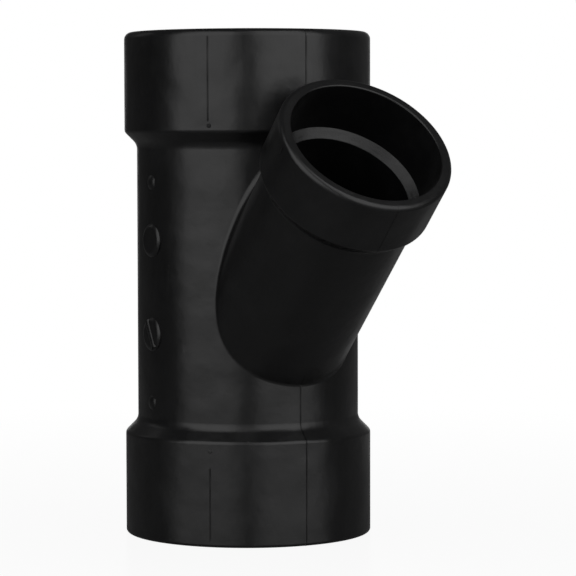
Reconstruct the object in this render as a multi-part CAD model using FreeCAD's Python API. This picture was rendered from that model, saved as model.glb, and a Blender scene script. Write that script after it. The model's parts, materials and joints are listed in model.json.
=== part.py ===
import FreeCAD
import Part
import math
import os

# Reducing wye in one moulding: a straight run with a pipe socket at each end, and a
# smaller branch that leaves it at an angle and ends in a socket of its own.
# Millimetres, +Z up the run, branch towards +X, origin in the middle of the lower mouth.

# Run: its two sockets take this pipe, and its waterway goes straight through
run_pipe_diameter = 88.9
run_socket_gap = 0.18
run_socket_depth = 38.1
run_socket_wall = 5.54
run_stop_rise = 4.4
run_bore_diameter = 77.9
run_barrel_wall = 6.15
run_length = 204.2
lower_hub_length = 41.6
upper_hub_length = 40.4
run_shoulder_rise = 5.1
run_lead_in = 0.8
lower_rim_chamfer = 0.9
upper_rim_chamfer = 2.1
run_shoulder_corner = 2.1
run_shoulder_fillet = 5.0

# Branch: lengths are measured along its axis, back from its mouth
branch_angle = 45.0
branch_crossing_height = 62.4
branch_length = 137.9
branch_pipe_diameter = 60.3
branch_socket_gap = 0.17
branch_socket_depth = 22.3
branch_socket_wall = 4.55
branch_stop_rise = 2.9
branch_bore_diameter = 53.5
branch_barrel_wall = 4.4
branch_hub_length = 23.3
branch_shoulder_rise = 4.6
branch_lead_in = 0.9
branch_rim_chamfer = 1.15
branch_shoulder_corner = 2.5
branch_shoulder_fillet = 4.0

# Rounding of the curve in which the walls of run and branch meet
blend_radius = 2.1

# Raised ridge along the straight walls where the two halves of the mould met
ridge_height = 0.2
ridge_width = 0.5

# Raised alignment marks on the hubs, a line that ends short of a dot
run_mark_angles = (-45.0, 135.0)
mark_width = 0.5
mark_height = 0.3
mark_from_mouth = 3.0
lower_mark_length = 26.0
upper_mark_length = 32.0
mark_dot_diameter = 1.4
lower_dot_inset = 3.4
upper_dot_inset = 2.4
branch_mark_angles = (-90.0, 90.0)
branch_mark_length = 3.4

# Round raised pads and small domed pips in a row down one side of the run's barrel, the
# row turned a little towards the branch
pad_row_turn = 3.7
pad_diameter = 13.5
pad_height = 0.9
pad_edge_slope = 0.9
pad_heights_up_run = (82.6, 120.3)
bar_length = 12.4
bar_width = 1.3
bar_height = 0.4
bar_tilt = 28.0
pip_diameter = 6.0
pip_height = 0.7
pip_heights_up_run = (55.1, 143.6)

# How far cutting shapes run past what they cut, and raised marks reach into their wall
overrun = 5.0
bite = 1.5

run_socket_radius = run_pipe_diameter / 2 + run_socket_gap
run_hub_radius = run_socket_radius + run_socket_wall
run_bore_radius = run_bore_diameter / 2
run_barrel_radius = run_bore_radius + run_barrel_wall
branch_socket_radius = branch_pipe_diameter / 2 + branch_socket_gap
branch_hub_radius = branch_socket_radius + branch_socket_wall
branch_bore_radius = branch_bore_diameter / 2
branch_barrel_radius = branch_bore_radius + branch_barrel_wall
barrel_start = lower_hub_length + run_shoulder_rise
upper_hub_start = run_length - upper_hub_length
barrel_end = upper_hub_start - run_shoulder_rise
branch_hub_start = branch_length - branch_hub_length
branch_barrel_end = branch_hub_start - branch_shoulder_rise
lean = math.radians(branch_angle)
blend_foot = (branch_crossing_height + run_barrel_radius / math.tan(lean)
              - branch_barrel_radius / math.sin(lean) - blend_radius)

vector = FreeCAD.Vector
up = vector(0, 0, 1)


def rounded_outline(corners):
    """Closed outline in the XZ plane from (radius, height, rounding) corners."""
    points = [vector(-radius, 0, height) for radius, height, _ in corners]
    edges = []
    arrivals, departures = [], []
    for index, (_, _, rounding) in enumerate(corners):
        here = points[index]
        if not rounding:
            arrivals.append(here)
            departures.append(here)
            continue
        back = (points[index - 1] - here).normalize()
        on = (points[(index + 1) % len(points)] - here).normalize()
        half_angle = back.getAngle(on) / 2
        reach = rounding / math.tan(half_angle)
        bisector = (back + on).normalize()
        middle = here + bisector * (rounding / math.sin(half_angle) - rounding)
        arrivals.append(here + back * reach)
        departures.append(here + on * reach)
        edges.append(Part.Arc(arrivals[-1], middle, departures[-1]).toShape())
    for index, start in enumerate(departures):
        end = arrivals[(index + 1) % len(arrivals)]
        edges.append(Part.makeLine(start, end))
    return Part.Wire(Part.__sortEdges__(edges))


def turned(corners):
    """Solid of revolution about the Z axis."""
    return Part.Face(rounded_outline(corners)).revolve(vector(), up, 360)


def placed_on_branch(shape):
    """Moves a shape made about the Z axis onto the branch's axis."""
    shape.rotate(vector(), vector(0, 1, 0), branch_angle)
    shape.translate(up * branch_crossing_height)
    return shape


def run_outside():
    """Barrel with a thicker hub at each end, shoulders sloping between them."""
    return turned([
        (0, 0, 0),
        (run_hub_radius - lower_rim_chamfer, 0, 0),
        (run_hub_radius, lower_rim_chamfer, 0),
        (run_hub_radius, lower_hub_length, run_shoulder_corner),
        (run_barrel_radius, barrel_start, run_shoulder_fillet),
        (run_barrel_radius, barrel_end, run_shoulder_fillet),
        (run_hub_radius, upper_hub_start, run_shoulder_corner),
        (run_hub_radius, run_length - upper_rim_chamfer, 0),
        (run_hub_radius - upper_rim_chamfer, run_length, 0),
        (0, run_length, 0),
    ])


def branch_outside():
    """Barrel from the middle of the run, with its shoulder and hub."""
    return placed_on_branch(turned([
        (0, 0, 0),
        (branch_barrel_radius, 0, 0),
        (branch_barrel_radius, branch_barrel_end, branch_shoulder_fillet),
        (branch_hub_radius, branch_hub_start, branch_shoulder_corner),
        (branch_hub_radius, branch_length - branch_rim_chamfer, 0),
        (branch_hub_radius - branch_rim_chamfer, branch_length, 0),
        (0, branch_length, 0),
    ]))


def run_waterway():
    """Straight bore with a socket, its stop and its lead-in at each end."""
    mouth = run_socket_radius + run_lead_in + overrun
    stop_end = run_socket_depth + run_stop_rise
    return turned([
        (0, -overrun, 0),
        (mouth, -overrun, 0),
        (run_socket_radius, run_lead_in, 0),
        (run_socket_radius, run_socket_depth, 0),
        (run_bore_radius, stop_end, 0),
        (run_bore_radius, run_length - stop_end, 0),
        (run_socket_radius, run_length - run_socket_depth, 0),
        (run_socket_radius, run_length - run_lead_in, 0),
        (mouth, run_length + overrun, 0),
        (0, run_length + overrun, 0),
    ])


def branch_waterway():
    """Bore from the middle of the run to the branch's stop and socket."""
    mouth = branch_socket_radius + branch_lead_in + overrun
    socket_start = branch_length - branch_socket_depth
    return placed_on_branch(turned([
        (0, 0, 0),
        (branch_bore_radius, 0, 0),
        (branch_bore_radius, socket_start - branch_stop_rise, 0),
        (branch_socket_radius, socket_start, 0),
        (branch_socket_radius, branch_length - branch_lead_in, 0),
        (mouth, branch_length + overrun, 0),
        (0, branch_length + overrun, 0),
    ]))


def blended(run, branch):
    """Joins run and branch and rounds the curve in which their walls meet."""
    whole = run.fuse(branch).removeSplitter()
    meeting = [edge for edge in whole.Edges
               if not isinstance(edge.Curve, (Part.Line, Part.Circle))]
    return whole.makeFillet(blend_radius, meeting)


def raised_line(radius, start, end, angle, width=mark_width, height=mark_height):
    """Rib along a cylinder about the Z axis, standing proud of its wall."""
    rib = Part.makeBox(
        bite + height, width, end - start, vector(radius - bite, -width / 2, start))
    rib.rotate(vector(), up, angle)
    return rib


def parting_ridge(radius, start, end, angle):
    return raised_line(radius, start, end, angle, ridge_width, ridge_height)


def parting_ridges():
    """Ridges along the straight walls, in the plane that holds both axes."""
    lower_hub = (run_hub_radius, lower_rim_chamfer, lower_hub_length - run_shoulder_corner)
    upper_hub = (run_hub_radius, upper_hub_start + run_shoulder_corner,
                 run_length - upper_rim_chamfer)
    branch_hub = (branch_hub_radius, branch_hub_start + branch_shoulder_corner,
                  branch_length - branch_rim_chamfer)
    ridges = [
        parting_ridge(run_barrel_radius, barrel_start, blend_foot, 0),
        parting_ridge(run_barrel_radius, barrel_start, barrel_end, 180),
    ]
    for angle in (0, 180):
        ridges.append(parting_ridge(*lower_hub, angle))
        ridges.append(parting_ridge(*upper_hub, angle))
        ridges.append(placed_on_branch(parting_ridge(*branch_hub, angle)))
    return ridges


def raised_dot(radius, height, angle):
    dot = Part.makeCylinder(
        mark_dot_diameter / 2, bite + mark_height,
        vector(radius - bite, 0, height), vector(1, 0, 0))
    dot.rotate(vector(), up, angle)
    return dot


def alignment_marks():
    """Lines and dots round the hubs, for turning the fitting to a drawn line."""
    lower_end = mark_from_mouth + lower_mark_length
    upper_end = run_length - mark_from_mouth
    branch_end = branch_length - mark_from_mouth
    marks = []
    for angle in run_mark_angles:
        marks.append(raised_line(run_hub_radius, mark_from_mouth, lower_end, angle))
        marks.append(raised_dot(run_hub_radius, lower_hub_length - lower_dot_inset, angle))
        marks.append(raised_line(run_hub_radius, upper_end - upper_mark_length, upper_end, angle))
        marks.append(raised_dot(run_hub_radius, upper_hub_start + upper_dot_inset, angle))
    for angle in branch_mark_angles:
        marks.append(placed_on_branch(raised_line(
            branch_hub_radius, branch_end - branch_mark_length, branch_end, angle)))
    return marks


def turned_to_row(shapes):
    """Turns shapes made on the -Y side of the barrel round to their row."""
    for shape in shapes:
        shape.rotate(vector(), up, pad_row_turn)
    return shapes


def barrel_pads():
    """Round pads with sloping edges, the lower one crossed by a slanting bar."""
    outwards = vector(0, -1, 0)
    pads = []
    for height in pad_heights_up_run:
        pads.append(Part.makeCylinder(
            pad_diameter / 2, bite, vector(0, bite - run_barrel_radius, height), outwards))
        pads.append(Part.makeCone(
            pad_diameter / 2, pad_diameter / 2 - pad_edge_slope, pad_height,
            vector(0, -run_barrel_radius, height), outwards))
    bar_foot = run_barrel_radius + pad_height
    bar = Part.makeBox(
        bar_width, bite + bar_height, bar_length,
        vector(-bar_width / 2, -bar_foot - bar_height, -bar_length / 2))
    bar.rotate(vector(), vector(0, 1, 0), -bar_tilt)
    bar.translate(up * pad_heights_up_run[0])
    return turned_to_row(pads + [bar])


def barrel_pips():
    """Shallow domes left on the barrel above and below the pads."""
    sphere_radius = (pip_diameter ** 2 / 4 + pip_height ** 2) / (2 * pip_height)
    centre = run_barrel_radius + pip_height - sphere_radius
    pips = [Part.makeSphere(sphere_radius, vector(0, -centre, height))
            for height in pip_heights_up_run]
    return turned_to_row(pips)


def wye_body():
    outside = blended(run_outside(), branch_outside())
    raised = parting_ridges() + alignment_marks() + barrel_pads() + barrel_pips()
    waterway = run_waterway().fuse(branch_waterway())
    return outside.multiFuse(raised).cut(waterway)


os.makedirs("parts", exist_ok=True)
body = wye_body()
body.exportStep("parts/wye_body.step")
print("wye_body", body.isValid(), len(body.Solids), "solids", round(body.Volume), "mm3")
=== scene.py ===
import json
import math
import bpy
from mathutils import Matrix, Vector


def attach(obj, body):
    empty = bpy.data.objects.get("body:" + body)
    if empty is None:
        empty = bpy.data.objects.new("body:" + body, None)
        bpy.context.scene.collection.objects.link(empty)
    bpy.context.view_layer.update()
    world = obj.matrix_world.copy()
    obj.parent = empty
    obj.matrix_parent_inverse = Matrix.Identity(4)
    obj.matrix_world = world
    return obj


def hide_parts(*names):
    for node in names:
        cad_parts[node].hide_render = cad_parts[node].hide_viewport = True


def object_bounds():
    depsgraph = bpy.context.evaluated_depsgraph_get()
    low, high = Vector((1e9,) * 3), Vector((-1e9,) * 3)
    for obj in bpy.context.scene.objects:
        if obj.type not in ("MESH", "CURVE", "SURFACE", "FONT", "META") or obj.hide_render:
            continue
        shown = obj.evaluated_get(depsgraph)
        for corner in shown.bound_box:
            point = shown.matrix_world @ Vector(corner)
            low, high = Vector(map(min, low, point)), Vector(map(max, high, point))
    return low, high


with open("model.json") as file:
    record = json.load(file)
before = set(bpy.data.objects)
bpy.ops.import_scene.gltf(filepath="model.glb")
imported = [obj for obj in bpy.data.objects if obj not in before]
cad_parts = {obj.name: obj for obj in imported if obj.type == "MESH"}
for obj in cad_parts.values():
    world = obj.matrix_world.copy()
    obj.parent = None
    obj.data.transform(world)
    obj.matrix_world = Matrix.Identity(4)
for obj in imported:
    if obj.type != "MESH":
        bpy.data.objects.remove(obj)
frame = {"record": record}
cadLow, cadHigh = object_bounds()
mounts = {mount["name"]: mount for mount in frame["record"]["mounts"]}
mm = 0.001  # sizes are written in millimetres and the scene is in metres
weld = 0.001 * mm  # points closer together than this are one


class Wire:
    # a node's output that can stand in a sum, so that node maths reads as a formula
    def __init__(self, desk, node, port=None):
        shown = [socket for socket in node.outputs if socket.enabled]
        self.desk = desk
        self.node = node
        self.socket = node.outputs[port] if port else shown[0]

    def port(self, name):
        return Wire(self.desk, self.node, name)

    def maths(self, operation, *others):
        return self.desk.maths(operation, self, *others)

    def __add__(self, other):
        return self.maths("ADD", other)

    def __radd__(self, other):
        return self.maths("ADD", other)

    def __sub__(self, other):
        return self.maths("SUBTRACT", other)

    def __rsub__(self, other):
        return self.desk.maths("SUBTRACT", other, self)

    def __mul__(self, other):
        return self.maths("MULTIPLY", other)

    def __rmul__(self, other):
        return self.maths("MULTIPLY", other)

    def __truediv__(self, other):
        return self.maths("DIVIDE", other)

    def __rtruediv__(self, other):
        return self.desk.maths("DIVIDE", other, self)

    def __mod__(self, other):
        return self.maths("FLOORED_MODULO", other)

    def __pow__(self, other):
        return self.maths("POWER", other)

    def __neg__(self):
        return self.maths("MULTIPLY", -1)

    def __gt__(self, other):
        return self.maths("GREATER_THAN", other)

    def __lt__(self, other):
        return self.maths("LESS_THAN", other)


class NodeDesk:
    # lays nodes into one tree
    def __init__(self, tree):
        self.tree = tree

    def node(self, kind, settings=None, values=None):
        made = self.tree.nodes.new(kind)
        for name, value in (settings or {}).items():
            setattr(made, name, value)
        for name, value in (values or {}).items():
            socket = made.inputs[name] if isinstance(name, int) else self.named(made, name)
            for part in value if isinstance(value, list) else [value]:
                if isinstance(part, Wire):
                    self.tree.links.new(part.socket, socket)
                else:
                    socket.default_value = part
        return Wire(self, made) if made.outputs else None

    def named(self, made, name):
        return next(socket for socket in made.inputs if socket.enabled and socket.name == name)

    def maths(self, operation, *terms):
        return self.node("ShaderNodeMath", {"operation": operation}, dict(enumerate(terms)))

    def vector(self, x, y, z):
        return self.node("ShaderNodeCombineXYZ", None, {"X": x, "Y": y, "Z": z})

    def vectorMaths(self, operation, *terms):
        return self.node("ShaderNodeVectorMath", {"operation": operation}, dict(enumerate(terms)))

    def scaled(self, vector, factor):
        return self.node("ShaderNodeVectorMath", {"operation": "SCALE"}, {
            "Vector": vector, "Scale": factor})

    def fade(self, value, low, high, first=0.0, last=1.0):
        # first up to low, last from high on, and a straight slope between them
        return self.node("ShaderNodeMapRange", {"clamp": True}, {
            "Value": value, "From Min": low, "From Max": high, "To Min": first, "To Max": last})


class FieldDesk(NodeDesk):
    # a geometry node group with named inputs and one geometry output
    kinds = {"geometry": "NodeSocketGeometry", "object": "NodeSocketObject", "count": "NodeSocketInt",
             "size": "NodeSocketFloat", "finish": "NodeSocketMaterial"}

    def __init__(self, name, inputs):
        super().__init__(bpy.data.node_groups.new(name, "GeometryNodeTree"))
        self.tree.interface.new_socket("Geometry", in_out="OUTPUT", socket_type="NodeSocketGeometry")
        for label, kind in inputs.items():
            self.tree.interface.new_socket(label, in_out="INPUT", socket_type=self.kinds[kind])
        self.given = self.node("NodeGroupInput")

    def take(self, label):
        return self.given.port(label)

    def taken(self, *labels):
        return {label: self.take(label) for label in labels}

    def group(self, other, values):
        return self.node("GeometryNodeGroup", {"node_tree": other.tree}, values)

    def outline(self, label):
        return self.node("GeometryNodeObjectInfo", None, {"Object": self.take(label)}).port("Geometry")

    def moved(self, geometry, place, turn=(0.0, 0.0, 0.0)):
        return self.node("GeometryNodeTransform", None, {
            "Geometry": geometry, "Translation": place, "Rotation": turn})

    def leaned(self, geometry):
        # from upright on the run's foot to the branch's own place
        return self.moved(geometry, self.vector(0.0, 0.0, self.take("Crossing")),
                          self.vector(0.0, self.take("Lean"), 0.0))

    def ribBetween(self, start, end, thickness):
        line = self.node("GeometryNodeCurvePrimitiveLine", None, {"Start": start, "End": end})
        section = self.node("GeometryNodeCurvePrimitiveCircle", None, {
            "Resolution": markSizes["ribSides"], "Radius": thickness})
        return self.node("GeometryNodeCurveToMesh", None, {
            "Curve": line, "Profile Curve": section, "Fill Caps": True})

    def boss(self, turning, label):
        return self.group(turning, {
            "Outline": self.outline(label), "Swell": 0.0, "Segments": markSizes["bossSegments"]})

    def joined(self, operation, *solids):
        # a union of all, or the first less or within the others
        settings = {"operation": operation, "solver": "MANIFOLD"}
        if operation == "DIFFERENCE":
            values = {"Mesh 1": solids[0], "Mesh 2": list(solids[1:])}
        else:
            values = {1: list(solids)}
        return self.node("GeometryNodeMeshBoolean", settings, values)

    def finish(self, geometry):
        self.node("NodeGroupOutput", None, {"Geometry": geometry})
        return self


# what the sockets take and where they stand comes from the part's own mounts
runSizes = {
    "socketRadius": mounts["lower_socket"]["dims"]["r_mm"],
    "length": mounts["upper_socket"]["pos_m"][2] / mm,
    "hubRadius": (cadHigh.y - cadLow.y) / 2 / mm,
    "socketDepth": 38.1,
    "stopRise": 4.4,
    "boreRadius": 38.95,
    "barrelRadius": 45.1,
    "lowerHubLength": 41.6,
    "upperHubLength": 40.4,
    "shoulderRise": 5.1,
    "rimRounding": 3.0,
    "footRounding": 1.3,
    "lipRounding": 1.0,
    "shoulderCorner": 2.1,
    "shoulderFillet": 5.0,
    "stopCorner": 0.8,
    "stopFillet": 0.6,
}

branchAngle = math.acos(mounts["branch_socket"]["axis"][2])
branchLeadIn = 0.9  # the branch's mount stands this far inside its mouth
branchSizes = {
    "socketRadius": mounts["branch_socket"]["dims"]["r_mm"],
    "length": mounts["branch_socket"]["pos_m"][0] / mm / math.sin(branchAngle) + branchLeadIn,
    "hubRadius": 34.87,
    "hubLength": 23.3,
    "socketDepth": 22.3,
    "stopRise": 2.9,
    "boreRadius": 26.75,
    "barrelRadius": 31.15,
    "shoulderRise": 4.6,
    "rimRounding": 2.0,
    "lipRounding": 0.6,
    "shoulderCorner": 2.5,
    "shoulderFillet": 3.4,
    "stopCorner": 0.6,
    "stopFillet": 0.4,
}

junctionSizes = {
    "crossingHeight": mounts["branch_socket"]["pos_m"][2] / mm
    - mounts["branch_socket"]["pos_m"][0] / mm / math.tan(branchAngle),
    "outsideBlend": 2.1,
    "waterwayBlend": 0.8,
    "leastShare": 0.85,  # of the blend, at the lowest point of the meeting curve
    "crotchGrowth": 0.9,  # how much is added to that share at the crotch
    "segments": 256,
    "cornerSteps": 10,
    "blendSteps": 14,
    "seamWidth": 0.5,
    "seamHeight": 0.19,
    "branchSeamShare": 0.5,
    "crispAngle": 32,  # edges sharper than this stay crisp, in degrees
}

# at a mouth the shape that cuts the waterway runs past the rim and almost flat along it
mouthCut = {
    "past": 5.0,
    "lipReach": 8.0,
    "lipSlope": 0.05,
}

# turns, tilts and first places round a pipe are in degrees, heights are up from the foot
markSizes = {
    "lineHeight": 0.3,
    "fromMouth": 3.0,
    "lowerLine": 28.5,
    "upperLine": 33.3,
    "upperLineTurn": 0.5,
    "firstHubLine": -45,
    "branchLine": 3.4,
    "firstBranchLine": 90,
    "linesRound": 2,
    "ribSides": 16,
    "dotRadius": 0.85,
    "dotRounding": 0.22,
    "lowerDotInset": 3.4,
    "upperDotInset": 2.4,
    "padRowTurn": 3.7,
    "padRadius": 6.75,
    "padHeight": 0.9,
    "padSlope": 0.9,
    "padEdgeRounding": 2.8,
    "padHeights": (82.6, 120.3),
    "barLength": 12.0,
    "barRadius": 1.9,
    "barHeight": 0.5,
    "barTilt": 28.0,
    "pipRadius": 3.0,
    "pipHeight": 0.9,
    "pipHeights": (55.1, 143.6),
    "bossSegments": 48,
    "bite": 1.5,  # how far a raised mark reaches into its wall
}


def profileCurve(name, corners):
    # outline in the XZ plane from (radius, height, rounding) corners, read by the node groups
    data = bpy.data.curves.new(name, "CURVE")
    data.dimensions = "3D"
    spline = data.splines.new("POLY")
    spline.points.add(len(corners) - 1)
    for point, (radius, height, rounding) in zip(spline.points, corners):
        point.co = (radius * mm, 0, height * mm, 1)
        point.radius = rounding * mm
    outline = bpy.data.objects.new(name, data)
    bpy.context.scene.collection.objects.link(outline)
    return outline


def runOutline(size):
    lowerEnd = size["lowerHubLength"]
    upperStart = size["length"] - size["upperHubLength"]
    return profileCurve("runOutline", [
        (0, 0, 0),
        (size["hubRadius"], 0, size["footRounding"]),
        (size["hubRadius"], lowerEnd, size["shoulderCorner"]),
        (size["barrelRadius"], lowerEnd + size["shoulderRise"], size["shoulderFillet"]),
        (size["barrelRadius"], upperStart - size["shoulderRise"], size["shoulderFillet"]),
        (size["hubRadius"], upperStart, size["shoulderCorner"]),
        (size["hubRadius"], size["length"], size["rimRounding"]),
        (0, size["length"], 0),
    ])


def branchOutline(size):
    hubStart = size["length"] - size["hubLength"]
    return profileCurve("branchOutline", [
        (0, 0, 0),
        (size["barrelRadius"], 0, 0),
        (size["barrelRadius"], hubStart - size["shoulderRise"], size["shoulderFillet"]),
        (size["hubRadius"], hubStart, size["shoulderCorner"]),
        (size["hubRadius"], size["length"], size["rimRounding"]),
        (0, size["length"], 0),
    ])


def mouthCorners(size):
    # from past the mouth along the rim, round its inner lip and down to the bore
    outer = size["socketRadius"] + mouthCut["lipReach"]
    slope = mouthCut["lipSlope"]
    depth = size["socketDepth"]
    return [
        (0, mouthCut["past"], 0),
        (outer, mouthCut["past"], 0),
        (outer, (mouthCut["lipReach"] - size["lipRounding"]) * slope, 0),
        (size["socketRadius"], -size["lipRounding"] * slope, size["lipRounding"]),
        (size["socketRadius"], -depth, size["stopFillet"]),
        (size["boreRadius"], -depth - size["stopRise"], size["stopCorner"]),
    ]


def runWaterwayOutline(size):
    upper = [(radius, size["length"] + height, rounding) for radius, height, rounding in mouthCorners(size)]
    lower = [(radius, -height, rounding) for radius, height, rounding in mouthCorners(size)]
    return profileCurve("runWaterwayOutline", lower + upper[::-1])


def branchWaterwayOutline(size):
    mouth = [(radius, size["length"] + height, rounding) for radius, height, rounding in mouthCorners(size)]
    return profileCurve("branchWaterwayOutline", [(0, 0, 0), (size["boreRadius"], 0, 0)] + mouth[::-1])


def dotOutline(size):
    return profileCurve("dotOutline", [
        (0, -size["bite"], 0),
        (size["dotRadius"], -size["bite"], 0),
        (size["dotRadius"], size["lineHeight"], size["dotRounding"]),
        (0, size["lineHeight"], 0),
    ])


def padOutline(size):
    return profileCurve("padOutline", [
        (0, -size["bite"], 0),
        (size["padRadius"], -size["bite"], 0),
        (size["padRadius"], 0, 0),
        (size["padRadius"] - size["padSlope"], size["padHeight"], size["padEdgeRounding"]),
        (0, size["padHeight"], 0),
    ])


def turningGroup(cornerSteps):
    # rounds an outline's corners and turns it about the Z axis into a closed solid
    desk = FieldDesk("turnOutline", {"Outline": "geometry", "Swell": "size", "Segments": "count"})
    rounding = desk.node("GeometryNodeInputRadius")
    outline = desk.node("GeometryNodeFilletCurve", {"mode": "POLY"}, {
        "Curve": desk.take("Outline"), "Radius": rounding, "Count": cornerSteps})
    rows = desk.node("GeometryNodeAttributeDomainSize", {"component": "CURVE"}, {"Geometry": outline})
    grid = desk.node("GeometryNodeMeshGrid", None, {
        "Size X": 1.0, "Size Y": 1.0, "Vertices X": desk.take("Segments") + 1, "Vertices Y": rows})
    index = desk.node("GeometryNodeInputIndex")
    angle = desk.maths("FLOOR", index / rows) * math.tau / desk.take("Segments")
    place = desk.node("GeometryNodeSampleIndex", {"data_type": "FLOAT_VECTOR"}, {
        "Geometry": outline, "Value": desk.node("GeometryNodeInputPosition"), "Index": index % rows})
    parts = desk.node("ShaderNodeSeparateXYZ", None, {"Vector": place})
    offAxis = parts.port("X") > weld
    radius = parts.port("X") + desk.take("Swell") * offAxis
    turned = desk.node("GeometryNodeSetPosition", None, {
        "Geometry": grid,
        "Position": desk.vector(radius * desk.maths("COSINE", angle), radius * desk.maths("SINE", angle),
                                parts.port("Z"))})
    closed = desk.node("GeometryNodeMergeByDistance", None, {"Geometry": turned, "Distance": weld})
    return desk.finish(closed)


def blendGroup(blendSteps):
    # ring that fills the corner between two crossing cylinders, as a ball rolled round it leaves it
    desk = FieldDesk("rollingBlend", {
        "Run Radius": "size", "Branch Radius": "size", "Blend": "size", "Least Share": "size",
        "Crotch Growth": "size", "Lean": "size", "Crossing": "size", "Segments": "count"})
    sink = 0.01 * mm  # the arc's two ends dip into the walls, so that the union has no gap
    root = -1.0 * mm  # the ring's hidden corner lies this far inside both walls
    rows = blendSteps + 3  # the arc's points, the hidden corner and the first point once more
    grid = desk.node("GeometryNodeMeshGrid", None, {
        "Size X": 1.0, "Size Y": 1.0, "Vertices X": desk.take("Segments") + 1, "Vertices Y": rows})
    index = desk.node("GeometryNodeInputIndex")
    angle = desk.maths("FLOOR", index / rows) * math.tau / desk.take("Segments")
    row = (index % rows) % (rows - 1)
    sinTurn = desk.maths("SINE", angle)
    cosTurn = desk.maths("COSINE", angle)
    sinLean = desk.maths("SINE", desk.take("Lean"))
    cosLean = desk.maths("COSINE", desk.take("Lean"))

    def ballCentre(ball):
        # where a ball of this radius touches both walls, and the way out from the run's axis there
        reach = desk.take("Branch Radius") + ball
        out = desk.take("Run Radius") + ball
        across = reach * sinTurn
        ahead = desk.maths("SQRT", out * out - across * across)
        along = (ahead + reach * cosTurn * cosLean) / sinLean
        height = desk.take("Crossing") + along * cosLean + reach * cosTurn * sinLean
        return desk.vector(ahead, across, height), ahead / out, across / out

    # the ball grows towards the crotch and is smallest below
    crotchShare = (0.5 + cosTurn * 0.5) ** 2
    ball = desk.take("Blend") * (desk.take("Least Share") + crotchShare * desk.take("Crotch Growth"))
    centre, awayX, awayY = ballCentre(ball)
    corner = ballCentre(root)[0]
    toRun = desk.vector(-awayX, -awayY, 0.0)
    toBranch = desk.vector(cosTurn * cosLean, -sinTurn, -(cosTurn * sinLean))
    sweep = desk.maths("ARCCOSINE", desk.vectorMaths("DOT_PRODUCT", toRun, toBranch).port("Value"))
    share = row / blendSteps
    fromRun = desk.maths("SINE", (1 - share) * sweep) / desk.maths("SINE", sweep)
    fromBranch = desk.maths("SINE", share * sweep) / desk.maths("SINE", sweep)
    outwards = desk.vectorMaths("ADD", desk.scaled(toRun, fromRun), desk.scaled(toBranch, fromBranch))
    atEnd = desk.maths("MAXIMUM", row < 0.5, row > blendSteps - 0.5)
    onArc = desk.vectorMaths("ADD", centre, desk.scaled(outwards, ball + sink * atEnd))
    atCorner = row > blendSteps + 0.5
    place = desk.node("ShaderNodeMix", {"data_type": "VECTOR"}, {
        "Factor": atCorner, "A": onArc, "B": corner})
    ring = desk.node("GeometryNodeSetPosition", None, {"Geometry": grid, "Position": place})
    closed = desk.node("GeometryNodeMergeByDistance", None, {"Geometry": ring, "Distance": weld})
    return desk.finish(desk.node("GeometryNodeFlipFaces", None, {"Mesh": closed}))


def skinGroup(turning, blending):
    # run and leaning branch as one solid, their meeting curve rounded; used for outside and waterway
    desk = FieldDesk("wyeSkin", {
        "Run Outline": "object", "Branch Outline": "object", "Run Radius": "size", "Branch Radius": "size",
        "Blend": "size", "Lean": "size", "Crossing": "size", "Segments": "count"})

    def turned(label):
        return desk.group(turning, {
            "Outline": desk.outline(label), "Swell": 0.0, "Segments": desk.take("Segments")})

    ring = desk.group(blending, {
        **desk.taken("Run Radius", "Branch Radius", "Blend", "Lean", "Crossing", "Segments"),
        "Least Share": junctionSizes["leastShare"],
        "Crotch Growth": junctionSizes["crotchGrowth"]})
    branch = desk.leaned(turned("Branch Outline"))
    return desk.finish(desk.joined("UNION", turned("Run Outline"), branch, ring))


def hubMarksGroup(turning):
    # alignment lines and dots on the run's hubs, and short lines on the branch's
    desk = FieldDesk("hubMarks", {"Dot Outline": "object", "Lean": "size", "Crossing": "size"})
    size = markSizes
    hub = runSizes["hubRadius"]

    def line(radius, start, end):
        return desk.ribBetween((radius * mm, 0, start * mm), (radius * mm, 0, end * mm),
                               size["lineHeight"] * mm)

    def dot(height):
        return desk.moved(desk.boss(turning, "Dot Outline"), (hub * mm, 0, height * mm),
                          (0, math.pi / 2, 0))

    def around(geometry, firstAngle):
        # copies spread evenly about the Z axis
        points = desk.node("GeometryNodeMeshLine", {"mode": "OFFSET"}, {
            "Count": size["linesRound"], "Start Location": (0, 0, 0), "Offset": (0, 0, 0)})
        step = math.tau / size["linesRound"]
        angle = desk.node("GeometryNodeInputIndex") * step + math.radians(firstAngle)
        return desk.node("GeometryNodeInstanceOnPoints", None, {
            "Points": points, "Instance": geometry, "Rotation": desk.vector(0.0, 0.0, angle)})

    upperMouth = runSizes["length"] - size["fromMouth"]
    branchMouth = branchSizes["length"] - size["fromMouth"]
    lowerLine = line(hub, size["fromMouth"], size["fromMouth"] + size["lowerLine"])
    upperLine = desk.moved(line(hub, upperMouth - size["upperLine"], upperMouth), (0, 0, 0),
                           (0, 0, -math.radians(size["upperLineTurn"])))
    lowerDot = dot(runSizes["lowerHubLength"] - size["lowerDotInset"])
    upperDot = dot(runSizes["length"] - runSizes["upperHubLength"] + size["upperDotInset"])
    runMarks = desk.node("GeometryNodeJoinGeometry", None, {
        "Geometry": [lowerLine, lowerDot, upperLine, upperDot]})
    branchLine = line(branchSizes["hubRadius"], branchMouth - size["branchLine"], branchMouth)
    branchMarks = desk.leaned(around(branchLine, size["firstBranchLine"]))
    both = desk.node("GeometryNodeJoinGeometry", None, {
        "Geometry": [around(runMarks, size["firstHubLine"]), branchMarks]})
    return desk.finish(desk.node("GeometryNodeRealizeInstances", None, {"Geometry": both}))


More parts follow.
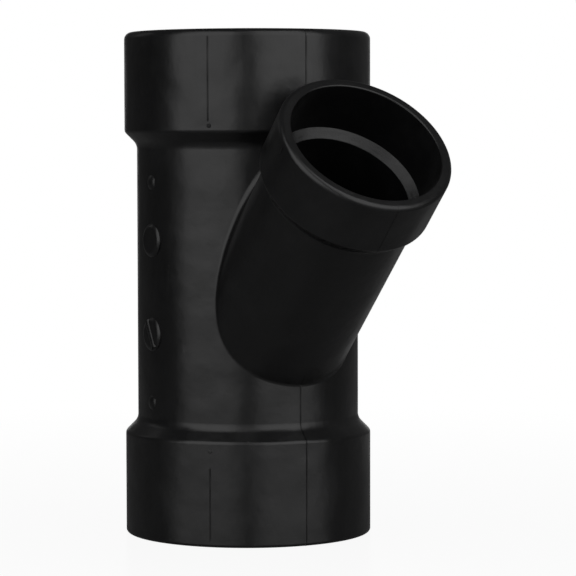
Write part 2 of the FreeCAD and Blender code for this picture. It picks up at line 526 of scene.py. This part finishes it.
def padRowGroup(turning):
    # round pads, the lower one with a bar, and domed pips down one side of the barrel
    desk = FieldDesk("padRow", {"Pad Outline": "object"})
    size = markSizes
    barrel = runSizes["barrelRadius"]
    pad = desk.boss(turning, "Pad Outline")
    pads = [desk.moved(pad, (0, -barrel * mm, height * mm), (math.pi / 2, 0, 0))
            for height in size["padHeights"]]
    barEnd = size["barLength"] / 2 * mm
    barMiddle = barrel + size["padHeight"] + size["barHeight"] - size["barRadius"]
    bar = desk.moved(desk.ribBetween((0, 0, -barEnd), (0, 0, barEnd), size["barRadius"] * mm),
                     (0, -barMiddle * mm, size["padHeights"][0] * mm),
                     (0, -math.radians(size["barTilt"]), 0))
    domeRadius = (size["pipRadius"] ** 2 + size["pipHeight"] ** 2) / (2 * size["pipHeight"])
    dome = desk.node("GeometryNodeMeshUVSphere", None, {
        "Segments": size["bossSegments"], "Rings": size["bossSegments"], "Radius": domeRadius * mm})
    pips = [desk.moved(dome, (0, (domeRadius - barrel - size["pipHeight"]) * mm, height * mm))
            for height in size["pipHeights"]]
    return desk.finish(desk.moved(desk.joined("UNION", *pads, bar, *pips), (0, 0, 0),
                                  (0, 0, math.radians(size["padRowTurn"]))))


def marksGroup(turning):
    # all that stands proud of the walls, each mark sunk a little into its own wall
    desk = FieldDesk("raisedMarks", {
        "Dot Outline": "object", "Pad Outline": "object", "Lean": "size", "Crossing": "size"})
    hubMarks = desk.group(hubMarksGroup(turning), desk.taken("Dot Outline", "Lean", "Crossing"))
    padRow = desk.group(padRowGroup(turning), desk.taken("Pad Outline"))
    return desk.finish(desk.joined("UNION", hubMarks, padRow))


def seamGroup(turning):
    # the parting line: a thin slice of the swollen run, and another round the branch's hub
    desk = FieldDesk("partingLine", {
        "Run Outline": "object", "Branch Outline": "object", "Lean": "size", "Crossing": "size",
        "Seam Width": "size", "Seam Height": "size", "Segments": "count"})
    hubStart = (branchSizes["length"] - branchSizes["hubLength"]) * mm
    reach = 1.0  # in metres, a slab larger than the whole piece

    def thinSlice(label, base, height):
        swollen = desk.group(turning, {
            "Outline": desk.outline(label), "Swell": height, "Segments": desk.take("Segments")})
        slab = desk.node("GeometryNodeMeshCube", None, {
            "Size": desk.vector(reach, desk.take("Seam Width"), reach)})
        return desk.joined("INTERSECT", swollen, desk.moved(slab, (0, 0, base + reach / 2)))

    height = desk.take("Seam Height")
    run = thinSlice("Run Outline", -reach / 4, height)
    branch = desk.leaned(thinSlice("Branch Outline", hubStart, height * junctionSizes["branchSeamShare"]))
    return desk.finish(desk.joined("UNION", run, branch))


def bodyGroup(skin, seam, marks):
    # the outside, its seam and marks, less the waterway
    desk = FieldDesk("mouldedWye", {
        "Geometry": "geometry", "Run Outline": "object", "Branch Outline": "object",
        "Run Waterway": "object", "Branch Waterway": "object",
        "Dot Outline": "object", "Pad Outline": "object",
        "Run Radius": "size", "Branch Radius": "size", "Blend": "size",
        "Bore Radius": "size", "Branch Bore Radius": "size", "Bore Blend": "size",
        "Lean": "size", "Crossing": "size", "Seam Width": "size", "Seam Height": "size",
        "Segments": "count", "Finish": "finish"})
    outside = desk.group(skin, desk.taken(
        "Run Outline", "Branch Outline", "Run Radius", "Branch Radius", "Blend",
        "Lean", "Crossing", "Segments"))
    seams = desk.group(seam, desk.taken(
        "Run Outline", "Branch Outline", "Lean", "Crossing", "Seam Width", "Seam Height", "Segments"))
    raised = desk.group(marks, desk.taken("Dot Outline", "Pad Outline", "Lean", "Crossing"))
    waterway = desk.group(skin, {
        **desk.taken("Lean", "Crossing", "Segments"),
        "Run Outline": desk.take("Run Waterway"), "Branch Outline": desk.take("Branch Waterway"),
        "Run Radius": desk.take("Bore Radius"), "Branch Radius": desk.take("Branch Bore Radius"),
        "Blend": desk.take("Bore Blend")})
    solid = desk.joined("DIFFERENCE", desk.joined("UNION", outside, seams, raised), waterway)
    whole = desk.node("GeometryNodeRealizeInstances", None, {"Geometry": solid})
    smooth = desk.node("GeometryNodeSetShadeSmooth", {"domain": "FACE"}, {
        "Geometry": whole, "Shade Smooth": True})
    edgeAngle = desk.node("GeometryNodeInputMeshEdgeAngle").port("Unsigned Angle")
    crisp = desk.node("GeometryNodeSetShadeSmooth", {"domain": "EDGE"}, {
        "Geometry": smooth, "Selection": edgeAngle > math.radians(junctionSizes["crispAngle"]),
        "Shade Smooth": False})
    return desk.finish(desk.node("GeometryNodeSetMaterial", None, {
        "Geometry": crisp, "Material": desk.take("Finish")}))


def fillInputs(modifier, values):
    # sockets are set by identifier, before the modifier is first evaluated
    for item in modifier.node_group.interface.items_tree:
        if item.item_type == "SOCKET" and item.name in values and item.in_out == "INPUT":
            modifier[item.identifier] = values[item.name]


def plainMesh(piece):
    # the evaluated result as the piece's own mesh, with the modifiers gone
    bpy.context.view_layer.update()
    evaluated = piece.evaluated_get(bpy.context.evaluated_depsgraph_get())
    mesh = bpy.data.meshes.new_from_object(evaluated)
    piece.modifiers.clear()
    piece.data = mesh


def buildWye(finish):
    outlines = {
        "Run Outline": runOutline(runSizes),
        "Branch Outline": branchOutline(branchSizes),
        "Run Waterway": runWaterwayOutline(runSizes),
        "Branch Waterway": branchWaterwayOutline(branchSizes),
        "Dot Outline": dotOutline(markSizes),
        "Pad Outline": padOutline(markSizes),
    }
    print("outlines drawn:", ", ".join(outlines))
    turning = turningGroup(junctionSizes["cornerSteps"])
    skin = skinGroup(turning, blendGroup(junctionSizes["blendSteps"]))
    body = bodyGroup(skin, seamGroup(turning), marksGroup(turning))
    piece = bpy.data.objects.new("moulded_wye", bpy.data.meshes.new("moulded_wye"))
    bpy.context.scene.collection.objects.link(piece)
    modifier = piece.modifiers.new("mouldedWye", "NODES")
    modifier.node_group = body.tree
    fillInputs(modifier, {
        **outlines,
        "Run Radius": runSizes["barrelRadius"] * mm,
        "Branch Radius": branchSizes["barrelRadius"] * mm,
        "Blend": junctionSizes["outsideBlend"] * mm,
        "Bore Radius": runSizes["boreRadius"] * mm,
        "Branch Bore Radius": branchSizes["boreRadius"] * mm,
        "Bore Blend": junctionSizes["waterwayBlend"] * mm,
        "Lean": branchAngle,
        "Crossing": junctionSizes["crossingHeight"] * mm,
        "Seam Width": junctionSizes["seamWidth"] * mm,
        "Seam Height": junctionSizes["seamHeight"] * mm,
        "Segments": junctionSizes["segments"],
        "Finish": finish,
    })
    plainMesh(piece)
    for outline in outlines.values():
        bpy.data.objects.remove(outline)
    smoothing = piece.modifiers.new("evenNormals", "WEIGHTED_NORMAL")
    smoothing.keep_sharp = True
    smoothing.weight = 100
    plainMesh(piece)
    print("body built:", len(piece.data.polygons), "faces")
    return piece


class FinishDesk(NodeDesk):
    # shader nodes for a moulded surface, measured in millimetres on the piece itself
    def __init__(self, name):
        self.material = bpy.data.materials.new(name)
        self.material.use_nodes = True
        self.material.node_tree.nodes.clear()
        super().__init__(self.material.node_tree)

    def noise(self, place, size, detail, roughness):
        return self.node("ShaderNodeTexNoise", None, {
            "Vector": place, "Scale": 1 / size, "Detail": detail, "Roughness": roughness})

    def ramp(self, value, low, high):
        # 0 below low and 1 above high, or the other way about where low is the larger
        return self.node("ShaderNodeMapRange", {"interpolation_type": "SMOOTHSTEP", "clamp": True}, {
            "Value": value, "From Min": low, "From Max": high, "To Min": 0.0, "To Max": 1.0})

    def within(self, value, low, high, soft):
        return self.ramp(value, low - soft, low + soft) * self.ramp(value, high + soft, high - soft)

    def either(self, *masks):
        widest = masks[0]
        for mask in masks[1:]:
            widest = self.maths("MAXIMUM", widest, mask)
        return widest

    def blend(self, share, first, second):
        return self.node("ShaderNodeMix", {"data_type": "RGBA"}, {"Factor": share, "A": first, "B": second})

    def relief(self, height, depth, under=None):
        values = {"Height": height, "Strength": 1.0, "Distance": depth * mm}
        if under:
            values["Normal"] = under
        return self.node("ShaderNodeBump", None, values)


class WyeSpot:
    # where a point of the surface lies on the run and on the branch
    def __init__(self, desk):
        self.place = desk.scaled(desk.node("ShaderNodeTexCoord").port("Object"), 1 / mm)
        parts = desk.node("ShaderNodeSeparateXYZ", None, {"Vector": self.place})
        self.x = parts.port("X")
        self.y = parts.port("Y")
        self.z = parts.port("Z")
        risen = self.z - junctionSizes["crossingHeight"]
        self.along = self.x * math.sin(branchAngle) + risen * math.cos(branchAngle)
        self.across = self.x * math.cos(branchAngle) - risen * math.sin(branchAngle)
        self.fromRun = desk.maths("SQRT", self.x * self.x + self.y * self.y)
        self.fromBranch = desk.maths("SQRT", self.across * self.across + self.y * self.y)


# a noise is its size in millimetres, its detail and its roughness, and depths are in millimetres;
# a patch is the noise value at which its mask starts and the one at which it is full
plasticLook = {
    "black": (0.0028, 0.0028, 0.0030, 1),
    "rubbed": (0.0095, 0.0095, 0.0098, 1),
    "grain": (0.023, 0.023, 0.0235, 1),
    "dust": (0.060, 0.058, 0.055, 1),
    "roughness": 0.30,
    "ior": 1.5,
    "specular": 0.38,
    # the lower specular of the dull lines, partly dull plastic and partly painted shade that darkens them
    "dullSpecular": 0.15,
    "waveNoise": (17.0, 1.0, 0.4),
    "waveDepth": 0.65,
    "mottleNoise": (6.0, 2.0, 0.5),
    "mottleDepth": 0.12,
    "peelNoise": (0.9, 2.0, 0.5),
    "peelDepth": 0.004,
    "toolGrainNoise": (0.55, 3.0, 0.65),
    "toolGrainDepth": 0.05,
    "toolGrainPatch": (0.38, 0.72),
    "rimGrain": 0.12,
    "rimRelief": 0.5,
    "turningNoise": (1.0, 4.0, 0.6),
    "turningPerRadian": 4.5,
    "turningPerMillimetre": 1.4,
    "turningShare": 0.6,
    "turningPatch": (0.40, 0.62),
    "streakNoise": (1.7, 3.0, 0.55),
    "streakStretch": 0.09,
    "streakTone": 0.20,
    "handledNoise": (23.0, 3.0, 0.6),
    "handledPatch": (0.45, 0.75),
    "handledTone": 0.35,
    "speckleNoise": (0.8, 1.0, 0.5),
    "specklePatch": (0.70, 0.78),
    "dustyNoise": (12.0, 2.0, 0.5),
    "dustyPatch": (0.48, 0.70),
    "dustTone": 0.3,
    "scratchNoise": (0.42, 1.0, 0.4),
    "scratchPatch": (0.71, 0.76),
    "scratchTurn": (0.5, 0.9, 0.4),
    "scratchStretch": (1.0, 0.05, 1.0),
    "scratchedNoise": (15.0, 1.0, 0.5),
    "scratchedPatch": (0.52, 0.66),
    "scratchTone": 0.2,
}

# what each kind of wear adds to the roughness where it is full
roughnessOf = {
    "handled": 0.05,
    "streaks": 0.10,
    "grained": 0.22,
    "scratched": 0.12,
    "dusty": 0.25,
}

# where the finish changes, in millimetres along a pipe, out from its axis or from the middle of
# a line; a pair is where a mask starts and where it is full
finishEdges = {
    "branchPastHub": (51, 52),
    "branchPastBarrel": (47, 50),
    "clearOfHubs": 8,
    "hubSoftness": 1,
    "halfSoftness": 1,
    "lowerRim": (1.2, 0.2),
    "upperRim": (1.6, 0.2),
    "branchRim": (1.3, 0.2),
    "stopSoftness": 0.3,
    "branchStopPast": (46, 48),
    "runWall": (44.80, 45.00),
    "lowerWallEnd": 2.0,
    "upperWallEnd": 2.6,
    "runWallSoftness": 0.8,
    "branchWall": (34.4, 34.7),
    "branchWallEnd": 1.8,
    "branchWallSoftness": 0.4,
    "hubWall": (49.6, 49.9),
    "seam": (0.50, 0.28),
    "hubLine": (0.45, 0.25),
    "hubLineSoftness": 0.6,
    "hubDot": (1.1, 0.7),
}

# how evenly the dull line with its painted shade shows, and how much of it the branch has
seamLook = {
    "wearNoise": (9.0, 1.0, 0.5),
    "wearPatch": (0.25, 0.75),
    "wearSpan": 0.5,
    "leastWear": 0.35,
    "branchShare": 0.2,
}


def branchMask(desk, spot):
    # which of the two pipes a point belongs to, so that flow marks follow its length
    clear = finishEdges["clearOfHubs"]
    besideHubs = desk.within(spot.z, runSizes["lowerHubLength"] + clear,
                             runSizes["length"] - runSizes["upperHubLength"] - clear,
                             finishEdges["hubSoftness"])
    return desk.either(desk.ramp(spot.fromRun, *finishEdges["branchPastHub"]),
                       besideHubs * desk.ramp(spot.fromRun, *finishEdges["branchPastBarrel"]))


def flowStreaks(desk, spot, onBranch):
    stretch = plasticLook["streakStretch"]
    flow = desk.node("ShaderNodeMix", {"data_type": "VECTOR"}, {
        "Factor": onBranch,
        "A": desk.vector(spot.x, spot.y, spot.z * stretch),
        "B": desk.vector(spot.across, spot.y, spot.along * stretch)})
    return desk.noise(flow, *plasticLook["streakNoise"])


def rimMask(desk, spot):
    upperStart, upperFull = finishEdges["upperRim"]
    branchStart, branchFull = finishEdges["branchRim"]
    return desk.either(
        desk.ramp(spot.z, *finishEdges["lowerRim"]),
        desk.ramp(spot.z, runSizes["length"] - upperStart, runSizes["length"] - upperFull),
        desk.ramp(spot.along, branchSizes["length"] - branchStart, branchSizes["length"] - branchFull))


def stopMask(desk, spot):
    # the faces of the pipe stops, deep in the sockets
    soft = finishEdges["stopSoftness"]
    lowerStop = runSizes["socketDepth"]
    upperStop = runSizes["length"] - runSizes["socketDepth"]
    branchStop = branchSizes["length"] - branchSizes["socketDepth"]
    inRun = desk.ramp(spot.fromRun, runSizes["socketRadius"] + soft, runSizes["socketRadius"])
    inBranch = desk.ramp(spot.fromBranch, branchSizes["socketRadius"] + soft, branchSizes["socketRadius"]) \
        * desk.ramp(spot.fromRun, *finishEdges["branchStopPast"])
    return desk.either(
        inRun * desk.either(
            desk.within(spot.z, lowerStop, lowerStop + runSizes["stopRise"], soft),
            desk.within(spot.z, upperStop - runSizes["stopRise"], upperStop, soft)),
        inBranch * desk.within(spot.along, branchStop - branchSizes["stopRise"], branchStop, soft))


def scratchMask(desk, spot):
    look = plasticLook
    turned = desk.node("ShaderNodeMapping", {"vector_type": "POINT"}, {
        "Vector": spot.place, "Rotation": look["scratchTurn"], "Scale": look["scratchStretch"]})
    scratches = desk.ramp(desk.noise(turned, *look["scratchNoise"]), *look["scratchPatch"])
    return scratches * desk.ramp(desk.noise(spot.place, *look["scratchedNoise"]), *look["scratchedPatch"])


def dustMask(desk, spot):
    look = plasticLook
    speckles = desk.ramp(desk.noise(spot.place, *look["speckleNoise"]), *look["specklePatch"])
    return speckles * desk.ramp(desk.noise(spot.place, *look["dustyNoise"]), *look["dustyPatch"])


def dullShadedLineMask(desk, spot, onBranch):
    # a line of dull plastic runs along the parting line, the raised lines and the upper dot; its lower
    # specular is partly the trimmed plastic's own dullness and partly painted shade that darkens the line
    edges = finishEdges
    length = runSizes["length"]
    hub = runSizes["hubRadius"]
    hubStart = branchSizes["length"] - branchSizes["hubLength"]
    wear = desk.ramp(desk.noise(spot.place, *seamLook["wearNoise"]), *seamLook["wearPatch"]) \
        * seamLook["wearSpan"] + seamLook["leastWear"]
    runWall = desk.ramp(spot.fromRun, *edges["runWall"]) * (1 - onBranch) \
        * desk.within(spot.z, edges["lowerWallEnd"], length - edges["upperWallEnd"],
                      edges["runWallSoftness"])
    branchWall = desk.ramp(spot.fromBranch, *edges["branchWall"]) \
        * desk.within(spot.along, hubStart, branchSizes["length"] - edges["branchWallEnd"],
                      edges["branchWallSoftness"])
    seam = desk.ramp(desk.maths("ABSOLUTE", spot.y), *edges["seam"]) \
        * desk.either(runWall, branchWall * seamLook["branchShare"]) * wear

    # the angle from the plane of the hub's lines, where x is minus y
    offPlane = desk.maths("ARCTANGENT", (spot.x + spot.y) / (spot.x - spot.y))
    onHubWall = desk.ramp(spot.fromRun, *edges["hubWall"])
    upperHalf = desk.ramp(spot.z, length / 2 - edges["halfSoftness"], length / 2 + edges["halfSoftness"])
    offLine = offPlane + upperHalf * math.radians(markSizes["upperLineTurn"])
    mouthGap = markSizes["fromMouth"]
    lineSpan = desk.either(
        desk.within(spot.z, mouthGap, mouthGap + markSizes["lowerLine"], edges["hubLineSoftness"]),
        desk.within(spot.z, length - mouthGap - markSizes["upperLine"], length - mouthGap,
                    edges["hubLineSoftness"]))
    hubLine = desk.ramp(desk.maths("ABSOLUTE", offLine) * hub, *edges["hubLine"]) * lineSpan * onHubWall
    aside = offPlane * hub
    aboveDot = spot.z - (length - runSizes["upperHubLength"] + markSizes["upperDotInset"])
    fromDot = desk.maths("SQRT", aside * aside + aboveDot * aboveDot)
    hubDot = desk.ramp(fromDot, *edges["hubDot"]) * onHubWall
    return desk.either(seam, hubLine * wear, hubDot)


def plasticFinish():
    look = plasticLook
    desk = FinishDesk("satin_black_plastic")
    spot = WyeSpot(desk)
    onBranch = branchMask(desk, spot)

    # rims, and the faces of the pipe stops, keep the grain of the tool
    rims = rimMask(desk, spot)
    stops = stopMask(desk, spot)
    toolGrain = desk.noise(spot.place, *look["toolGrainNoise"])
    roundBranch = desk.vector(desk.maths("ARCTAN2", spot.y, spot.across) * look["turningPerRadian"],
                              spot.fromBranch * look["turningPerMillimetre"], 0.0)
    turningMarks = desk.noise(roundBranch, *look["turningNoise"])
    stopGrain = toolGrain * (1 - look["turningShare"]) + turningMarks * look["turningShare"]
    grained = desk.either(rims * look["rimGrain"] * desk.ramp(toolGrain, *look["toolGrainPatch"]),
                          stops * desk.ramp(stopGrain, *look["turningPatch"]))

    # rubbing, flow streaks, scratches and a little dust
    handled = desk.ramp(desk.noise(spot.place, *look["handledNoise"]), *look["handledPatch"])
    streaks = flowStreaks(desk, spot, onBranch)
    scratched = scratchMask(desk, spot)
    dusty = dustMask(desk, spot)

    rubbing = handled * look["handledTone"] + streaks * look["streakTone"]
    dirt = desk.either(dusty * look["dustTone"], scratched * look["scratchTone"])
    tone = desk.blend(rubbing, look["black"], look["rubbed"])
    tone = desk.blend(grained, tone, look["grain"])
    tone = desk.blend(dirt, tone, look["dust"])
    roughness = look["roughness"] + handled * roughnessOf["handled"] \
        + (streaks - 0.5) * roughnessOf["streaks"] + grained * roughnessOf["grained"] \
        + scratched * roughnessOf["scratched"] + dusty * roughnessOf["dusty"]

    # faint waves, mottle and orange peel, and the tool's grain over them
    waves = desk.relief(desk.noise(spot.place, *look["waveNoise"]), look["waveDepth"])
    mottled = desk.relief(desk.noise(spot.place, *look["mottleNoise"]), look["mottleDepth"], waves)
    peeled = desk.relief(desk.noise(spot.place, *look["peelNoise"]), look["peelDepth"], mottled)
    toolRelief = toolGrain * desk.either(rims * look["rimRelief"], stops)
    rough = desk.relief(toolRelief, look["toolGrainDepth"], peeled)

    shared = {"Base Color": tone, "Roughness": roughness, "IOR": look["ior"], "Normal": rough}
    satin = desk.node("ShaderNodeBsdfPrincipled", None, {
        **shared, "Specular IOR Level": look["specular"]})
    # the same plastic with less specular: dull, and darkened by painted shade
    shadedDull = desk.node("ShaderNodeBsdfPrincipled", None, {
        **shared, "Specular IOR Level": look["dullSpecular"]})
    # where the dull, painted-shade plastic is mixed in along the lines and the dot
    dullShadedLines = dullShadedLineMask(desk, spot, onBranch)
    surface = desk.node("ShaderNodeMixShader", None, {0: dullShadedLines, 1: satin, 2: shadedDull})
    desk.node("ShaderNodeOutputMaterial", None, {"Surface": surface})
    print("plastic mixed:", len(desk.tree.nodes), "nodes")
    return desk.material


cameraShot = {
    "azimuth": 62.5,
    "elevation": 3.4,
    "distance": 1.1057,
    "height": 0.09977,
    "shiftX": 0.0698,
    "lens": 168.55,
    "sensor": 36.0,
    "roll": -0.17,
    "nearest": 0.01,
    "farthest": 50.0,
}


def towards(azimuth, elevation):
    # direction of what stands at that bearing, measured as the views of the part are
    turn = math.radians(azimuth)
    rise = math.radians(elevation)
    return Vector((math.sin(turn) * math.cos(rise), -math.cos(turn) * math.cos(rise), math.sin(rise)))


def placeCamera(shot):
    data = bpy.data.cameras.new("camera")
    data.lens = shot["lens"]
    data.sensor_width = shot["sensor"]
    data.shift_x = shot["shiftX"]
    data.clip_start = shot["nearest"]
    data.clip_end = shot["farthest"]
    camera = bpy.data.objects.new("camera", data)
    bpy.context.scene.collection.objects.link(camera)
    back = towards(shot["azimuth"], shot["elevation"])
    camera.location = Vector((0, 0, shot["height"])) + back * shot["distance"]
    roll = Matrix.Rotation(math.radians(shot["roll"]), 3, "Z")
    camera.rotation_euler = (back.to_track_quat("Z", "Y").to_matrix() @ roll).to_euler()
    bpy.context.scene.camera = camera
    print("camera placed at azimuth", shot["azimuth"])


# angles are in degrees; the surround is what a mirror would show away from the lamps, and it
# grows paler towards one bearing
backdrop = {
    "surround": 0.05,
    "fullWithin": 5.0,
    "goneBeyond": 19.0,
    "paleSide": 0.06,
    "paleBearing": 130.0,
    "paleElevation": 10.0,
    "paleFrom": 0.4,
}


def straightBehind(desk, direction):
    # 1 for what lies behind the object as the camera sees it, fading out to both sides
    behind = tuple(-towards(cameraShot["azimuth"], 0))
    unit = desk.vectorMaths("NORMALIZE", direction)
    facing = desk.vectorMaths("DOT_PRODUCT", unit, behind).port("Value")
    return desk.fade(facing, math.cos(math.radians(backdrop["goneBeyond"])),
                     math.cos(math.radians(backdrop["fullWithin"])))


def paintWorld():
    world = bpy.data.worlds.new("studio")
    bpy.context.scene.world = world
    world.use_nodes = True
    world.node_tree.nodes.clear()
    desk = NodeDesk(world.node_tree)
    path = desk.node("ShaderNodeLightPath")
    direction = desk.node("ShaderNodeTexCoord").port("Generated")
    mirrored = desk.maths("MAXIMUM", path.port("Is Glossy Ray"), path.port("Is Transmission Ray"))
    seen = desk.maths("MAXIMUM", path.port("Is Camera Ray"), mirrored * straightBehind(desk, direction))
    paleWay = towards(cameraShot["azimuth"] + backdrop["paleBearing"], backdrop["paleElevation"])
    facing = desk.vectorMaths("DOT_PRODUCT", direction, tuple(paleWay)).port("Value")
    around = desk.fade(facing, backdrop["paleFrom"], 1.0,
                       backdrop["surround"], backdrop["surround"] + backdrop["paleSide"])
    level = seen * (1 - around) + around
    light = desk.node("ShaderNodeBackground", None, {"Color": (1, 1, 1, 1), "Strength": level})
    desk.node("ShaderNodeOutputWorld", None, {"Surface": light})
    print("world painted")


# distances are in metres from the middle of the foot; the floor is white to the camera,
# but for a share of its own shade near the object
floorLook = {
    "reach": 6.0,
    "colour": (0.24, 0.24, 0.24, 1),
    "roughness": 0.22,
    "specular": 0.5,
    "shadeShare": 0.07,
    "shadeFrom": 0.05,
    "shadeTo": 0.5,
    "farFrom": 1.5,
    "farTo": 2.5,
}


def floorFinish(look):
    material = bpy.data.materials.new("pale_floor")
    material.use_nodes = True
    material.node_tree.nodes.clear()
    desk = NodeDesk(material.node_tree)
    path = desk.node("ShaderNodeLightPath")
    matt = desk.node("ShaderNodeBsdfPrincipled", None, {
        "Base Color": look["colour"], "Roughness": look["roughness"],
        "Specular IOR Level": look["specular"]})
    white = desk.node("ShaderNodeEmission", None, {"Color": (1, 1, 1, 1), "Strength": 1.0})
    place = desk.node("ShaderNodeTexCoord").port("Object")
    away = desk.vectorMaths("LENGTH", place).port("Value")
    shade = desk.fade(away, look["shadeFrom"], look["shadeTo"], look["shadeShare"], 0.0)
    farBack = desk.fade(away, look["farFrom"], look["farTo"])
    mirrored = desk.maths("MAXIMUM", path.port("Is Glossy Ray"), path.port("Is Transmission Ray"))
    behind = farBack * straightBehind(desk, place)
    seen = desk.maths("MAXIMUM", path.port("Is Camera Ray"), mirrored * behind)
    surface = desk.node("ShaderNodeMixShader", None, {0: seen * (1 - shade), 1: matt, 2: white})
    desk.node("ShaderNodeOutputMaterial", None, {"Surface": surface})
    return material


def buildFloor(look):
    data = bpy.data.meshes.new("floor")
    reach = look["reach"]
    data.from_pydata([(-reach, -reach, 0), (reach, -reach, 0), (reach, reach, 0), (-reach, reach, 0)], [],
                     [(0, 1, 2, 3)])
    data.materials.append(floorFinish(look))
    floor = bpy.data.objects.new("floor", data)
    bpy.context.scene.collection.objects.link(floor)
    print("floor laid")


# bearings are counted from the camera's and pitch is how far above the level a lamp looks, both
# in degrees; the level is the brightness that a mirror would show
lampPlan = {
    "left_softbox": {
        "bearing": -39.3, "distance": 1.25, "height": 0.85, "pitch": 0,
        "width": 1.52, "tall": 1.66, "level": 1.6},
    "right_softbox": {
        "bearing": 40.8, "distance": 1.25, "height": 0.85, "pitch": 0,
        "width": 1.61, "tall": 1.66, "level": 1.7},
    "left_upper_softbox": {
        "bearing": -43, "distance": 1.05, "height": 1.78, "pitch": -56,
        "width": 1.35, "tall": 0.45, "level": 1.4},
    "right_upper_softbox": {
        "bearing": 43, "distance": 0.98, "height": 1.84, "pitch": -58,
        "width": 1.25, "tall": 0.55, "level": 1.9},
    "left_rear_strip": {
        "bearing": -123, "distance": 1.1, "height": 0.68, "pitch": -25,
        "width": 0.28, "tall": 0.5, "level": 0.3},
    "floor_card": {
        "bearing": 158, "distance": 0.27, "height": 0.012, "pitch": 89,
        "width": 0.34, "tall": 0.2, "level": 0.07},
}


def hangLamps(plan):
    for name, lamp in plan.items():
        data = bpy.data.lights.new(name, "AREA")
        data.shape = "RECTANGLE"
        data.size = lamp["width"]
        data.size_y = lamp["tall"]
        # an area lamp's watts over its area and pi give its level
        data.energy = lamp["level"] * math.pi * lamp["width"] * lamp["tall"]
        lampObject = bpy.data.objects.new(name, data)
        bpy.context.scene.collection.objects.link(lampObject)
        azimuth = cameraShot["azimuth"] + lamp["bearing"]
        lampObject.location = towards(azimuth, 0) * lamp["distance"] + Vector((0, 0, lamp["height"]))
        aim = towards(azimuth + 180, lamp["pitch"])
        lampObject.rotation_euler = aim.to_track_quat("-Z", "Y").to_euler()
        lampObject.visible_camera = False
    print("lamps hung:", len(plan))


wye = buildWye(plasticFinish())
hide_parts("wye_body")
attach(wye, "root")
buildFloor(floorLook)
placeCamera(cameraShot)
hangLamps(lampPlan)
paintWorld()
bpy.context.scene.view_settings.view_transform = "Standard"
